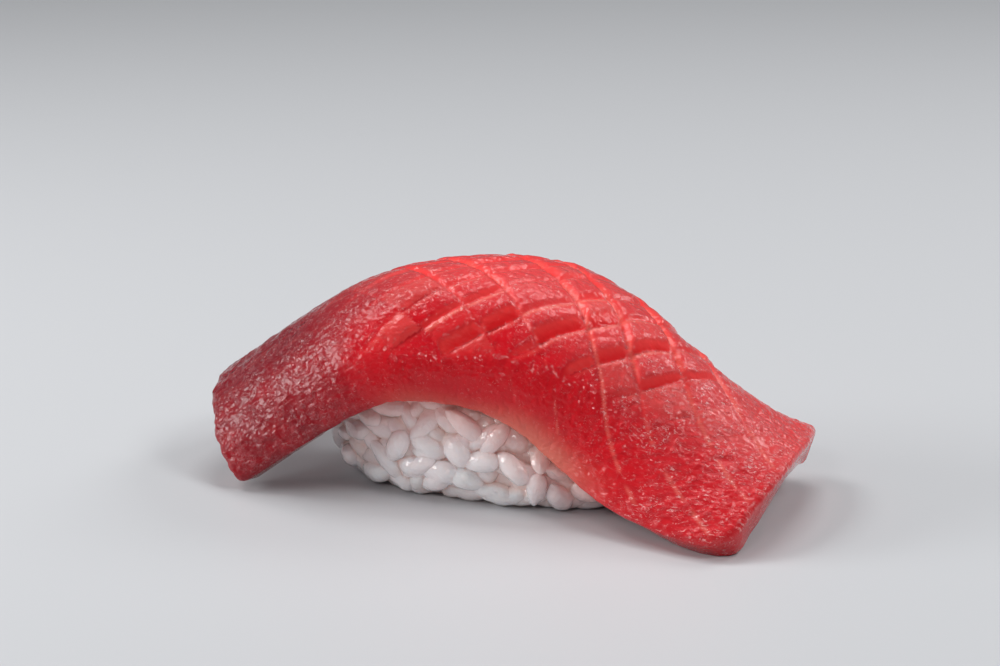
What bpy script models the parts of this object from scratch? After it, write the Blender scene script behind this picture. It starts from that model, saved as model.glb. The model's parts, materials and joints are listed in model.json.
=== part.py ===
"""Tuna sushi: one scored slab of raw tuna draped over a hand-pressed pad of rice.

Lengths are in metres, Z is up, and the slab runs along X. The slab is a flat cut
rectangle that is bent: a ridge line runs along its length, and at each place along
that line the slab curves down to both long edges. Crossing score cuts part the crown
into tilted tiles. The rice is a core with whole grains fused on wherever it can be seen.
"""
import math
import random

import bmesh
import bpy
import numpy as np
from mathutils import Matrix, Vector
from mathutils.bvhtree import BVHTree

MM = 0.001

# Tuna slab: the flat cut piece
SLAB_LENGTH = 95.0 * MM
SLAB_WIDTH = 38.0 * MM
SLAB_THICK = 5.7 * MM
NEAR_CORNERS = (1.6 * MM, 3.4 * MM)
FAR_CORNERS = (3.6 * MM, 4.2 * MM)
EDGE_ROUND = 0.9 * MM
EDGE_SHARE = 0.68
NEAR_TAPER = 6.0 * MM
NEAR_TAPER_SHARE = 0.72

# Tuna slab: how it lies. The apex is the ridge line's point at APEX_SHARE.
APEX_SHARE = 0.4856
APEX_X = 2.4 * MM
APEX_Z = 29.0 * MM
RIDGE_SHARES = (0.0, 0.218, 0.414, 0.609, 0.804, 1.0)
RIDGE_SLOPES = (38.2, 34.9, 4.2, -16.9, -39.8, -27.6)

# Cross-sections at five places along the slab, slopes in degrees
SECTION_SHARES = (0.0, 0.267, 0.511, 0.756, 1.0)
RIDGE_Y = (-3.4 * MM, -4.1 * MM, -3.0 * MM, -5.7 * MM, -3.8 * MM)
CROWN_ROLL = (3.2, -1.8, 9.4, 24.2, 4.6)
NEAR_SLOPE = (78.9, 89.5, 110.3, 94.9, 42.7)
FAR_SLOPE = (-44.0, -80.8, -78.3, -89.2, -19.4)
NEAR_POWER = (0.89, 0.85, 1.02, 0.59, 1.12)
FAR_POWER = (0.86, 1.13, 1.62, 1.02, 0.97)

# Score cuts: where each crosses the line SCORE_LINE, in millimetres along from the apex
SCORE_LINE = -6.0 * MM
FALLING_CUTS = (-35.0, -21.4, -14.0, -2.8, 7.0, 20.3, 28.4, 38.6, 49.0)
RISING_CUTS = (-27.0, -20.5, -14.0, -7.8, -1.8, 5.6, 11.8, 18.7, 25.1, 31.5, 38.0, 44.5)
FALLING_SLOPE = -0.67
RISING_SLOPE = 0.76
RISING_FAN = 0.014 / MM
FAN_REACH = (-10.0 * MM, 35.0 * MM)
RISING_STEP = 0.5 * MM
FAR_OFF = 120.0
TILE_REACH = 12.0 * MM

# Score cuts: their shape. Each tile between the cuts is tilted, with a wall on its lower side.
RISING_WALL = (0.4 * MM, 2.0 * MM)
RISING_LIP = 0.4 * MM
RISING_DEPTH = 1.15 * MM
RISING_LIP_DEPTH = 0.3 * MM
RISING_TILT = 1.0 * MM
FALLING_WALL = 1.0 * MM
FALLING_LIP = 0.4 * MM
FALLING_DEPTH = 0.85 * MM
FALLING_TILT = 0.25 * MM
SCORE_SINK = 0.15 * MM

# Score cuts: where they fade out, and how far each is open
CUTS_LEFT = (-27.0 * MM, -3.0 * MM)
CUTS_RIGHT = (24.0 * MM, 42.0 * MM)
CUTS_FAR = (8.0 * MM, 17.0 * MM)
CUTS_RIM = (0.8 * MM, 2.5 * MM)
RISING_NEAR = (-13.4 * MM, -11.2 * MM)
NEAR_DRIFT = 0.21
DRIFT_REACH = (-3.0 * MM, 32.0 * MM)
FALLING_NEAR = (-10.0 * MM, 0.0)
CUTS_END_LOSS = 0.8
CUTS_FAR_LOSS = 0.6
CUTS_SEED = 17
SHARES_OPEN = (0.12, 0.45)
WIDE_CUTS = ((3, 5, 1.0), (4, 5, 1.0), (5, 6, 1.0), (6, 6, 0.95), (5, 7, 0.6), (6, 7, 0.95),
             (7, 7, 0.75), (7, 8, 0.85), (8, 8, 0.6), (3, 4, 0.35))

# Fineness of the drape's own table, and of the slab's mesh
DRAPE_STEPS_ALONG = 400
DRAPE_STEPS_ACROSS = 160
SLAB_STEPS_ALONG = 170
SLAB_STEPS_ACROSS = 72
CROWDING_ALONG = 0.08
CROWDING_ACROSS = 0.16
SLAB_TRIANGLES = 5400

# Rice core, before grains
RICE_X = 2.6 * MM
RICE_HALF_LENGTH = 24.3 * MM
RICE_HALF_WIDTH = 12.4 * MM
RICE_TOP = 30.0 * MM
RICE_PLAN_POWER = 2.8
RICE_HEIGHTS = (0.0, 0.04, 0.13, 0.27, 0.45, 0.62, 0.78, 0.91, 1.0)
RICE_LENGTHS = (0.64, 0.78, 0.93, 1.0, 1.0, 0.95, 0.84, 0.62, 0.3)
RICE_WIDTHS = (0.80, 0.92, 1.0, 1.0, 0.98, 0.92, 0.80, 0.58, 0.3)
RICE_STEPS_ROUND = 48
CORE_GAP = 1.4 * MM

CORE_SHRINKS = 12
CORE_DRAW_IN = (0.98, 0.96)
CORE_DROP = 0.25 * MM

# Rice grains
GRAIN_LENGTH = 6.7 * MM
GRAIN_WIDTH = 3.15 * MM
GRAIN_FLAT = 0.86
GRAIN_SIDES = 5
GRAIN_RING_PLACES = (-0.7, 0.0, 0.7)
GRAIN_BLUNTNESS = 2.6
GRAIN_TIP = 0.12
GRAIN_SIZES = (0.92, 1.08)
GRAIN_SPACING = 3.15 * MM
GRAIN_TRIES = 3200
GRAIN_GAP = 0.4 * MM
GRAIN_LIFT = 0.35 * MM
GRAIN_ROOM = 1.2 * MM
GRAIN_SHORTENING = (1.0, 0.86, 0.74, 0.62)
GRAIN_DROPS = (0.0, 0.5 * MM, 1.0 * MM)
FLOOR_GAP = 0.15 * MM
GRAIN_SEED = 11
RICE_KEEP = 0.59
RAY_STEP = 0.001 * MM


def clear_scene():
    for item in list(bpy.data.objects):
        bpy.data.objects.remove(item)


def smooth_values(shares, values, at):
    """Cubic curve through the values, with no overshoot at the turning points."""
    x = np.asarray(shares, float)
    y = np.asarray(values, float)
    rise = np.diff(y) / np.diff(x)
    slope = np.empty_like(y)
    slope[0] = rise[0]
    slope[-1] = rise[-1]
    same = rise[:-1] * rise[1:] > 0
    total = np.where(same, rise[:-1] + rise[1:], 1.0)
    slope[1:-1] = np.where(same, 2.0 * rise[:-1] * rise[1:] / total, 0.0)
    k = np.clip(np.searchsorted(x, at, side="right") - 1, 0, len(x) - 2)
    h = x[k + 1] - x[k]
    t = (at - x[k]) / h
    return (y[k] * (1 + 2 * t) * (1 - t) ** 2 + slope[k] * h * t * (1 - t) ** 2
            + y[k + 1] * t * t * (3 - 2 * t) + slope[k + 1] * h * t * t * (t - 1))


def integral(values, step):
    """Running sum by the trapezium rule along the last axis."""
    mid = (values[..., 1:] + values[..., :-1]) / 2 * step
    start = np.zeros(values.shape[:-1] + (1,))
    return np.concatenate([start, np.cumsum(mid, axis=-1)], axis=-1)


def drape_surface(along, across):
    """Points and normals of the slab's middle surface on a grid of flat positions."""
    fine = np.linspace(0.0, 1.0, DRAPE_STEPS_ALONG + 1)
    slope = np.radians(smooth_values(RIDGE_SHARES, RIDGE_SLOPES, fine))
    step = SLAB_LENGTH / DRAPE_STEPS_ALONG
    line_x = integral(np.cos(slope), step)
    line_z = integral(np.sin(slope), step)
    line_x += APEX_X - np.interp(APEX_SHARE, fine, line_x)
    line_z += APEX_Z - np.interp(APEX_SHARE, fine, line_z)
    width = np.linspace(-1.0, 1.0, DRAPE_STEPS_ACROSS + 1)
    share = fine[:, None]
    roll = smooth_values(SECTION_SHARES, CROWN_ROLL, share)
    near = smooth_values(SECTION_SHARES, NEAR_SLOPE, share)
    far = smooth_values(SECTION_SHARES, FAR_SLOPE, share)
    near_power = smooth_values(SECTION_SHARES, NEAR_POWER, share)
    far_power = smooth_values(SECTION_SHARES, FAR_POWER, share)
    out = np.abs(width)[None, :] + 1e-9
    tilt = np.where(width[None, :] < 0, roll + (near - roll) * out ** near_power,
                    roll + (far - roll) * out ** far_power)
    tilt = np.radians(tilt)
    ridge = DRAPE_STEPS_ACROSS // 2
    sideways = integral(np.cos(tilt), SLAB_WIDTH / DRAPE_STEPS_ACROSS)
    upward = integral(np.sin(tilt), SLAB_WIDTH / DRAPE_STEPS_ACROSS)
    sideways -= sideways[:, ridge:ridge + 1]
    upward -= upward[:, ridge:ridge + 1]
    ridge_y = smooth_values(SECTION_SHARES, RIDGE_Y, share)
    points = np.stack([line_x[:, None] - np.sin(slope)[:, None] * upward,
                       ridge_y + sideways,
                       line_z[:, None] + np.cos(slope)[:, None] * upward], axis=-1)
    run = np.gradient(points, axis=0)
    cross = np.gradient(points, axis=1)
    normal = np.cross(run, cross)
    normal /= np.linalg.norm(normal, axis=-1, keepdims=True)
    row = along / SLAB_LENGTH * DRAPE_STEPS_ALONG
    column = (across / SLAB_WIDTH + 0.5) * DRAPE_STEPS_ACROSS
    return sample(points, row, column), sample(normal, row, column)


def sample(table, row, column):
    """Bilinear reading of a grid of points at fractional rows and columns."""
    i = np.clip(row.astype(int), 0, table.shape[0] - 2)
    j = np.clip(column.astype(int), 0, table.shape[1] - 2)
    a = np.clip(row - i, 0, 1)[..., None]
    b = np.clip(column - j, 0, 1)[..., None]
    return (table[i, j] * (1 - a) * (1 - b) + table[i + 1, j] * a * (1 - b)
            + table[i, j + 1] * (1 - a) * b + table[i + 1, j + 1] * a * b)


def crowded_shares(steps, crowding):
    """Shares from 0 to 1 that lie closer together toward both ends."""
    turn = np.pi * np.linspace(crowding, 1 - crowding, steps + 1)
    return 0.5 - 0.5 * np.cos(turn) / math.cos(crowding * math.pi)


def corner_radius(across, end):
    """Corner radius on the near or far side, at the left end (0) or the right one (1)."""
    return np.where(across < 0, NEAR_CORNERS[end], FAR_CORNERS[end])


def corner_inset(across, end):
    """How far the rounded corner draws the end in at each place across."""
    radius = corner_radius(across, end)
    reach = np.clip(SLAB_WIDTH / 2 - np.abs(across), 0, radius)
    return radius - np.sqrt(radius ** 2 - (radius - reach) ** 2)


def outline_grid(steps_along, steps_across):
    """Flat positions that fill a rectangle with rounded corners."""
    across = (crowded_shares(steps_across, CROWDING_ACROSS) - 0.5) * SLAB_WIDTH
    left = corner_inset(across, 0)[None, :]
    right = SLAB_LENGTH - corner_inset(across, 1)[None, :]
    share = crowded_shares(steps_along, CROWDING_ALONG)[:, None]
    return left + share * (right - left), np.repeat(across[None, :], steps_along + 1, axis=0)


def rim_distance(along, across):
    """How far a flat position lies inside the rounded outline."""
    radius = np.where(along < SLAB_LENGTH / 2, corner_radius(across, 0), corner_radius(across, 1))
    px = np.abs(along - SLAB_LENGTH / 2) - (SLAB_LENGTH / 2 - radius)
    py = np.abs(across) - (SLAB_WIDTH / 2 - radius)
    outside = np.hypot(np.maximum(px, 0), np.maximum(py, 0))
    return radius - outside - np.minimum(np.maximum(px, py), 0)


def half_thickness(along, across):
    """Rounded rim all round, and a longer taper to the near long edge."""
    inside = np.clip(rim_distance(along, across) / EDGE_ROUND, 0, 1)
    rim = EDGE_SHARE + (1 - EDGE_SHARE) * np.sqrt(1 - (1 - inside) ** 2)
    near = np.clip((across + SLAB_WIDTH / 2) / NEAR_TAPER, 0, 1)
    taper = NEAR_TAPER_SHARE + (1 - NEAR_TAPER_SHARE) * near * (2 - near)
    return SLAB_THICK / 2 * rim * taper


def fade(value, low, high):
    """Smooth step from 0 at low to 1 at high."""
    t = np.clip((value - low) / (high - low), 0, 1)
    return t * t * (3 - 2 * t)


class CutFamily:
    """Parallel score cuts: the strip a place lies in, and how far it is from its cuts."""

    def __init__(self, along, across, crossings, slope, shift):
        crossing = along - SLAB_LENGTH * APEX_SHARE - (across - SCORE_LINE) / slope + shift
        steep = np.abs(slope) / np.hypot(1, slope)
        places = np.array((-FAR_OFF,) + crossings + (FAR_OFF,)) * MM
        self.strip = np.clip(np.searchsorted(places, crossing) - 1, 0, len(places) - 2)
        before = places[self.strip]
        after = places[self.strip + 1]
        self.share = np.clip((crossing - before) / np.minimum(after - before, TILE_REACH), 0, 1)
        self.from_before = (crossing - before) * steep
        self.to_after = (after - crossing) * steep


def score_shares(falling, rising, rng):
    """How far the rising cut below each place is open, and the one above it."""
    size = (len(FALLING_CUTS) + 2, len(RISING_CUTS) + 2)
    openness = rng.uniform(*SHARES_OPEN, size)
    for column, row, share in WIDE_CUTS:
        openness[column, row] = share
    below = openness[falling.strip, rising.strip]
    return below, openness[falling.strip, np.maximum(rising.strip - 1, 0)]


def score_relief(along, across):
    """Height of the scored top over the smooth one: tilted tiles with open walls between."""
    offset = along - SLAB_LENGTH * APEX_SHARE
    rng = np.random.default_rng(CUTS_SEED)
    steps = rng.uniform(-1, 1, len(FALLING_CUTS) + 2) * RISING_STEP
    falling = CutFamily(along, across, FALLING_CUTS, FALLING_SLOPE, 0.0)
    fan = RISING_SLOPE + RISING_FAN * np.clip(offset, *FAN_REACH)
    rising = CutFamily(along, across, RISING_CUTS, fan, steps[falling.strip])
    below, above = score_shares(falling, rising, rng)
    crown = fade(offset, *CUTS_LEFT) * (1 - CUTS_END_LOSS * fade(offset, *CUTS_RIGHT))
    crown = crown * (1 - CUTS_FAR_LOSS * fade(across, *CUTS_FAR))
    drift = NEAR_DRIFT * (np.clip(offset, *DRIFT_REACH) - DRIFT_REACH[0])
    scored = crown * fade(across - drift, *RISING_NEAR)
    below = below * scored
    above = above * scored
    fall_open = crown * fade(across, *FALLING_NEAR)
    wall_width = RISING_WALL[0] + (RISING_WALL[1] - RISING_WALL[0]) * below
    wall = RISING_DEPTH * below * np.clip(1 - rising.to_after / wall_width, 0, 1)
    lip = RISING_LIP_DEPTH * above * np.clip(1 - rising.from_before / RISING_LIP, 0, 1)
    groove = np.maximum(1 - falling.from_before / FALLING_WALL, 1 - falling.to_after / FALLING_LIP)
    groove = FALLING_DEPTH * fall_open * np.clip(groove, 0, 1)
    tilt = RISING_TILT / 2 * (rising.share * below - (1 - rising.share) * above)
    tilt = tilt - FALLING_TILT * (falling.share - 0.5) * fall_open
    height = tilt - SCORE_SINK * scored - np.maximum(np.maximum(wall, lip), groove)
    return height * fade(rim_distance(along, across), *CUTS_RIM)


def shell_mesh(name, top, bottom):
    """One closed mesh from two grids of points with the same outline."""
    rows, columns = top.shape[:2]
    count = rows * columns
    points = np.concatenate([top.reshape(-1, 3), bottom.reshape(-1, 3)])
    index = np.arange(count).reshape(rows, columns)
    quads = np.stack([index[:-1, :-1], index[1:, :-1], index[1:, 1:], index[:-1, 1:]], axis=-1)
    quads = quads.reshape(-1, 4)
    under = quads[:, ::-1] + count
    ring = np.concatenate([index[:-1, 0], index[-1, :-1], index[:0:-1, -1], index[0, :0:-1]])
    after = np.roll(ring, -1)
    wall = np.stack([ring, ring + count, after + count, after], axis=-1)
    faces = np.concatenate([quads, under, wall])
    mesh = bpy.data.meshes.new(name)
    mesh.from_pydata(points.tolist(), [], faces.tolist())
    mesh.update()
    return mesh


def add_object(name, mesh, material):
    item = bpy.data.objects.new(name, mesh)
    bpy.context.scene.collection.objects.link(item)
    mesh.materials.clear()
    mesh.materials.append(material)
    return item


def bake_modifiers(item):
    """Replace the object's mesh by what its modifiers make of it."""
    graph = bpy.context.evaluated_depsgraph_get()
    result = bpy.data.meshes.new_from_object(item.evaluated_get(graph))
    item.modifiers.clear()
    item.data = result


def make_tuna(material):
    along, across = outline_grid(SLAB_STEPS_ALONG, SLAB_STEPS_ACROSS)
    points, normals = drape_surface(along, across)
    half = half_thickness(along, across)[..., None]
    relief = score_relief(along, across)[..., None]
    top = points + normals * (half + relief)
    bottom = points - normals * half
    top[..., 2] = np.maximum(top[..., 2], 0.0)
    bottom[..., 2] = np.maximum(bottom[..., 2], 0.0)
    tuna = add_object("tuna", shell_mesh("tuna", top, bottom), material)
    triangles = 4 * SLAB_STEPS_ALONG * SLAB_STEPS_ACROSS
    thin = tuna.modifiers.new("thin_out", "DECIMATE")
    thin.ratio = SLAB_TRIANGLES / triangles
    bake_modifiers(tuna)
    return tuna


def surface_tree(item):
    work = bmesh.new()
    work.from_mesh(item.data)
    tree = BVHTree.FromBMesh(work)
    work.free()
    return tree


def clearance(tree, point):
    """Distance to a closed surface, negative inside it, by what a ray crosses."""
    heading = Vector((0.13, -0.94, 0.31)).normalized()
    inside = False
    place = tree.ray_cast(point, heading)[0]
    while place is not None:
        inside = not inside
        place = tree.ray_cast(place + heading * RAY_STEP, heading)[0]
    distance = tree.find_nearest(point)[3]
    return -distance if inside else distance


def core_ring(work, height, length, width):
    """One level ring of the core: a rounded oblong."""
    ring = []
    for step in range(RICE_STEPS_ROUND):
        turn = 2 * math.pi * step / RICE_STEPS_ROUND
        c = math.cos(turn)
        s = math.sin(turn)
        power = 2 / RICE_PLAN_POWER
        x = RICE_X + RICE_HALF_LENGTH * length * math.copysign(abs(c) ** power, c)
        y = RICE_HALF_WIDTH * width * math.copysign(abs(s) ** power, s)
        ring.append(work.verts.new((x, y, height * RICE_TOP)))
    return ring


def fit_under_slab(place, tuna_tree):
    """Lowers or draws in a point of the core until it clears the slab."""
    if place.z <= 0:
        return
    hit = tuna_tree.ray_cast(Vector((place.x, place.y, 0.0)), Vector((0, 0, 1)))[0]
    if hit is not None:
        place.z = min(place.z, hit.z - CORE_GAP)
    for _ in range(CORE_SHRINKS):
        if clearance(tuna_tree, place) >= CORE_GAP:
            break
        place.x = RICE_X + (place.x - RICE_X) * CORE_DRAW_IN[0]
        place.y *= CORE_DRAW_IN[1]
        place.z -= CORE_DROP


def make_rice_core(tuna_tree, material):
    """A rounded pad whose top follows the slab's underside."""
    work = bmesh.new()
    rings = [core_ring(work, *row) for row in zip(RICE_HEIGHTS, RICE_LENGTHS, RICE_WIDTHS)]
    for lower, upper in zip(rings, rings[1:]):
        for step in range(RICE_STEPS_ROUND):
            after = (step + 1) % RICE_STEPS_ROUND
            work.faces.new((lower[step], lower[after], upper[after], upper[step]))
    work.faces.new(rings[0][::-1])
    peak = work.verts.new((RICE_X, 0.0, RICE_TOP))
    for step in range(RICE_STEPS_ROUND):
        work.faces.new((rings[-1][step], rings[-1][(step + 1) % RICE_STEPS_ROUND], peak))
    bmesh.ops.triangulate(work, faces=[f for f in work.faces if len(f.verts) == 4])
    for vert in work.verts:
        fit_under_slab(vert.co, tuna_tree)
    mesh = bpy.data.meshes.new("rice")
    work.to_mesh(mesh)
    work.free()
    return add_object("rice", mesh, material)


def grain_points(length, width):
    """One grain: blunt ends, slightly flattened, long axis on X."""
    points = [Vector((-length / 2, 0, 0))]
    for ring, x in enumerate(GRAIN_RING_PLACES):
        radius = (1 - abs(x) ** GRAIN_BLUNTNESS) ** 0.5 * width / 2
        for side in range(GRAIN_SIDES):
            turn = 2 * math.pi * (side + 0.5 * (ring % 2)) / GRAIN_SIDES
            place = (x * length / 2, radius * math.cos(turn), GRAIN_FLAT * radius * math.sin(turn))
            points.append(Vector(place))
    points.append(Vector((length / 2, 0, 0)))
    return points


def grain_faces():
    faces = []
    rings = len(GRAIN_RING_PLACES)
    last = 1 + GRAIN_SIDES * rings
    for side in range(GRAIN_SIDES):
        after = (side + 1) % GRAIN_SIDES
        faces.append((0, 1 + after, 1 + side))
        for ring in range(rings - 1):
            low = 1 + ring * GRAIN_SIDES
            high = low + GRAIN_SIDES
            if ring % 2 == 0:
                faces.append((low + side, low + after, high + side))
                faces.append((low + after, high + after, high + side))
            else:
                faces.append((low + side, low + after, high + after))
                faces.append((low + side, high + after, high + side))
        top = last - GRAIN_SIDES
        faces.append((top + side, top + after, last))
    return faces


def side_triangles(core):
    """Corners and outward direction of the core's triangles, and their areas."""
    mesh = core.data
    mesh.calc_loop_triangles()
    corners = []
    areas = []
    for tri in mesh.loop_triangles:
        if tri.normal.z > -0.9:
            a, b, c = (mesh.vertices[i].co.copy() for i in tri.vertices)
            corners.append((a, b, c, tri.normal.copy()))
            areas.append(tri.area)
    return corners, areas


def random_spot(corners, areas, rng):
    a, b, c, normal = rng.choices(corners, areas)[0]
    p = rng.random()
    q = rng.random()
    if p + q > 1:
        p = 1 - p
        q = 1 - q
    return a + (b - a) * p + (c - a) * q, normal


def place_grain(spot, normal, turn, tuna_tree, rng):
    """World points of one grain, shortened until it clears the slab, or None."""
    side = normal.cross(Vector((0, 0, 1)))
    if side.length < 0.1:
        side = Vector((1, 0, 0))
    side.normalize()
    up = normal.cross(side)
    axis = side * math.cos(turn) + up * math.sin(turn)
    axis += normal * rng.uniform(-GRAIN_TIP, GRAIN_TIP)
    axis.normalize()
    across = normal.cross(axis).normalized()
    frame = Matrix((axis, across, axis.cross(across))).transposed()
    size = rng.uniform(*GRAIN_SIZES)
    for shorter in GRAIN_SHORTENING:
        for drop in GRAIN_DROPS:
            points = grain_points(GRAIN_LENGTH * size * shorter, GRAIN_WIDTH * size)
            centre = spot + normal * (GRAIN_LIFT - drop * 0.6) - Vector((0, 0, drop))
            placed = [centre + frame @ point for point in points]
            lowest = min(point.z for point in placed)
            if lowest < FLOOR_GAP:
                lift = Vector((0, 0, FLOOR_GAP - lowest))
                placed = [point + lift for point in placed]
            if min(clearance(tuna_tree, point) for point in placed) > GRAIN_GAP:
                return placed
    return None


def add_grains(core, tuna_tree, material):
    """Grains spread evenly over the core wherever the slab leaves room for them."""
    rng = random.Random(GRAIN_SEED)
    faces = grain_faces()
    grains = bpy.data.collections.new("grains")
    bpy.context.scene.collection.children.link(grains)
    corners, areas = side_triangles(core)
    taken = []
    for _ in range(GRAIN_TRIES):
        spot, normal = random_spot(corners, areas, rng)
        if any((spot - other).length < GRAIN_SPACING for other in taken):
            continue
        if clearance(tuna_tree, spot) < GRAIN_ROOM:
            continue
        turn = rng.uniform(-0.5 * math.pi, 0.5 * math.pi)
        points = place_grain(spot, normal, turn, tuna_tree, rng)
        if points is None:
            continue
        taken.append(spot)
        mesh = bpy.data.meshes.new("grain")
        mesh.from_pydata(points, [], faces)
        mesh.materials.append(material)
        grains.objects.link(bpy.data.objects.new("grain", mesh))
    return grains


def fuse(core, grains):
    join = core.modifiers.new("fuse", "BOOLEAN")
    join.operation = "UNION"
    join.operand_type = "COLLECTION"
    join.collection = grains
    join.solver = "EXACT"
    thin = core.modifiers.new("thin_out", "DECIMATE")
    thin.ratio = RICE_KEEP
    bake_modifiers(core)
    for grain in list(grains.objects):
        bpy.data.objects.remove(grain)
    bpy.data.collections.remove(grains)


def keep_outer_shell(item):
    """Keep the largest connected shell of the object's mesh."""
    work = bmesh.new()
    work.from_mesh(item.data)
    unseen = set(work.verts)
    shells = []
    while unseen:
        stack = [unseen.pop()]
        shell = list(stack)
        while stack:
            vert = stack.pop()
            for edge in vert.link_edges:
                other = edge.other_vert(vert)
                if other in unseen:
                    unseen.remove(other)
                    stack.append(other)
                    shell.append(other)
        shells.append(shell)
    shells.sort(key=len, reverse=True)
    loose = [vert for shell in shells[1:] for vert in shell]
    bmesh.ops.delete(work, geom=loose, context="VERTS")
    work.to_mesh(item.data)
    work.free()


def centre_on_origin(items):
    """Move all pieces alike: middle of the box over the origin, lowest point on Z = 0."""
    points = [vert.co for item in items for vert in item.data.vertices]
    low = Vector([min(point[axis] for point in points) for axis in range(3)])
    high = Vector([max(point[axis] for point in points) for axis in range(3)])
    shift = Vector((-(low.x + high.x) / 2, -(low.y + high.y) / 2, -low.z))
    for item in items:
        item.data.transform(Matrix.Translation(shift))
        item.data.update()
    size = high - low
    print("size_mm", [round(value / MM, 2) for value in size])
    print("shift_mm", [round(value / MM, 3) for value in shift])


def food_material(name, colour, roughness):
    material = bpy.data.materials.new(name)
    material.use_nodes = True
    shader = material.node_tree.nodes["Principled BSDF"]
    shader.inputs["Base Color"].default_value = colour
    shader.inputs["Roughness"].default_value = roughness
    return material


def main():
    clear_scene()
    red = food_material("tuna_flesh", (0.55, 0.05, 0.06, 1.0), 0.35)
    white = food_material("cooked_rice", (0.82, 0.79, 0.74, 1.0), 0.4)
    tuna = make_tuna(red)
    tuna_tree = surface_tree(tuna)
    rice = make_rice_core(tuna_tree, white)
    fuse(rice, add_grains(rice, tuna_tree, white))
    keep_outer_shell(rice)
    centre_on_origin([tuna, rice])
    for item in (tuna, rice):
        print(item.name, "triangles", sum(len(face.vertices) - 2 for face in item.data.polygons))


main()
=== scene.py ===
"""Looks of the tuna sushi: a scored wet slab of raw tuna over a pad of cooked rice.

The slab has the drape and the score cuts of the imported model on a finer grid, with
fibres in its surface. The rice is whole grains over a core. Lengths are in metres, and
flat positions and heights on the slab are in millimetres.
"""
import json
import math
import random

import bpy
import numpy as np
from mathutils import Matrix, Vector
from mathutils.bvhtree import BVHTree

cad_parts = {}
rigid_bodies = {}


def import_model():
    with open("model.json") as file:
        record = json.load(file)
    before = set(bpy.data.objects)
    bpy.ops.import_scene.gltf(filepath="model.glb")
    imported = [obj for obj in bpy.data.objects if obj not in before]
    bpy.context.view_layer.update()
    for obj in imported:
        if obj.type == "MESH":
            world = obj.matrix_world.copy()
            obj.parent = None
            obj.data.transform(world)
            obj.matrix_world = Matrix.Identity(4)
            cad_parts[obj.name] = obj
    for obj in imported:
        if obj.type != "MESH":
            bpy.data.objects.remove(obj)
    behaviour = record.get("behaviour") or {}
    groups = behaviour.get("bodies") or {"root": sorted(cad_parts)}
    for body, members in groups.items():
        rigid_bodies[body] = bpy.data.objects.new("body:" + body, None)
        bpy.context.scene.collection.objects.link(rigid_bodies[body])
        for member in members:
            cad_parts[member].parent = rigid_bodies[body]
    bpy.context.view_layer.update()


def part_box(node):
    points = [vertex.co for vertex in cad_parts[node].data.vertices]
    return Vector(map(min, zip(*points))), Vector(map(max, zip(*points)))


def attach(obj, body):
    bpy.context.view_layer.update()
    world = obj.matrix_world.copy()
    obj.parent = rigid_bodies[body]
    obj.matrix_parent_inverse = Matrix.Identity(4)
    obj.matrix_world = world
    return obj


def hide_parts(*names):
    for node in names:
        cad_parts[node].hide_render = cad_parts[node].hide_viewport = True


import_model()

MM = 0.001

# Camera that took the photograph, from the slab's own axes before centring
CAMERA_PLACE = Vector((129.9, -352.2, 134.6)) * MM
CAMERA_DOWN = math.radians(16.8)
CAMERA_TURN = math.radians(19.98)
CAMERA_LENS = 100.0
CAMERA_SENSOR = 36.0
CAMERA_NEAR = 0.01

# Slab as cut, in millimetres
SLAB_LENGTH = 95.0
SLAB_WIDTH = 38.0
SLAB_THICK = 5.7
NEAR_CORNERS = (1.6, 3.4)
FAR_CORNERS = (3.6, 4.2)
EDGE_ROUND = 0.9
EDGE_SHARE = 0.68
NEAR_TAPER = 6.0
NEAR_TAPER_SHARE = 0.72

# How the slab lies: the ridge line and five cross-sections
APEX_SHARE = 0.4856
APEX_X = 2.4
APEX_Z = 29.0
RIDGE_SHARES = (0.0, 0.218, 0.414, 0.609, 0.804, 1.0)
RIDGE_SLOPES = (38.2, 34.9, 4.2, -16.9, -39.8, -27.6)
SECTION_SHARES = (0.0, 0.267, 0.511, 0.756, 1.0)
RIDGE_Y = (-3.4, -4.1, -3.0, -5.7, -3.8)
CROWN_ROLL = (3.2, -1.8, 9.4, 24.2, 4.6)
NEAR_SLOPE = (78.9, 89.5, 110.3, 94.9, 42.7)
FAR_SLOPE = (-44.0, -80.8, -78.3, -89.2, -19.4)
NEAR_POWER = (0.89, 0.85, 1.02, 0.59, 1.12)
FAR_POWER = (0.86, 1.13, 1.62, 1.02, 0.97)

# Fineness of the drape's own table and of the slab's mesh, along and across
DRAPE_STEPS = (400, 160)
TOP_STEPS = (420, 180)
CROWDING_ALONG = 0.08
CROWDING_ACROSS = 0.16
NOISE_TABLE = 97

# Score cuts: where each crosses the line SCORE_LINE, measured along from the apex
SCORE_LINE = -6.0
FALLING_CUTS = (-35.0, -21.4, -14.0, -2.8, 7.0, 20.3, 28.4, 38.6, 49.0)
RISING_CUTS = (-27.0, -20.5, -14.0, -7.8, -1.8, 5.6, 11.8, 18.7, 25.1, 31.5, 38.0, 44.5)
FALLING_SLOPE = -0.67
RISING_SLOPE = 0.76
RISING_FAN = 0.014
FAN_REACH = (-10.0, 35.0)
RISING_STEP = 0.5
CUT_WANDER = 0.5
OUTERMOST_CUT = 120.0
WIDEST_TILE = 12.0
SCORE_SEED = 17

# Score cuts: width of their walls shut and open, their depth, and the tiles' own form
RISING_WALL = (0.4, 2.0)
RISING_LIP = 0.3
RISING_DEPTH = 1.15
RISING_LIP_DEPTH = 0.3
RISING_TILT = 1.0
FALLING_WALL = (0.3, 1.1)
FALLING_LIP = 0.28
FALLING_DEPTH = 0.85
FALLING_TILT = 0.25
PILLOW = 0.16
PILLOW_REACH = 0.7
TILE_STEP = 0.12
SCORE_SINK = 0.3

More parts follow.
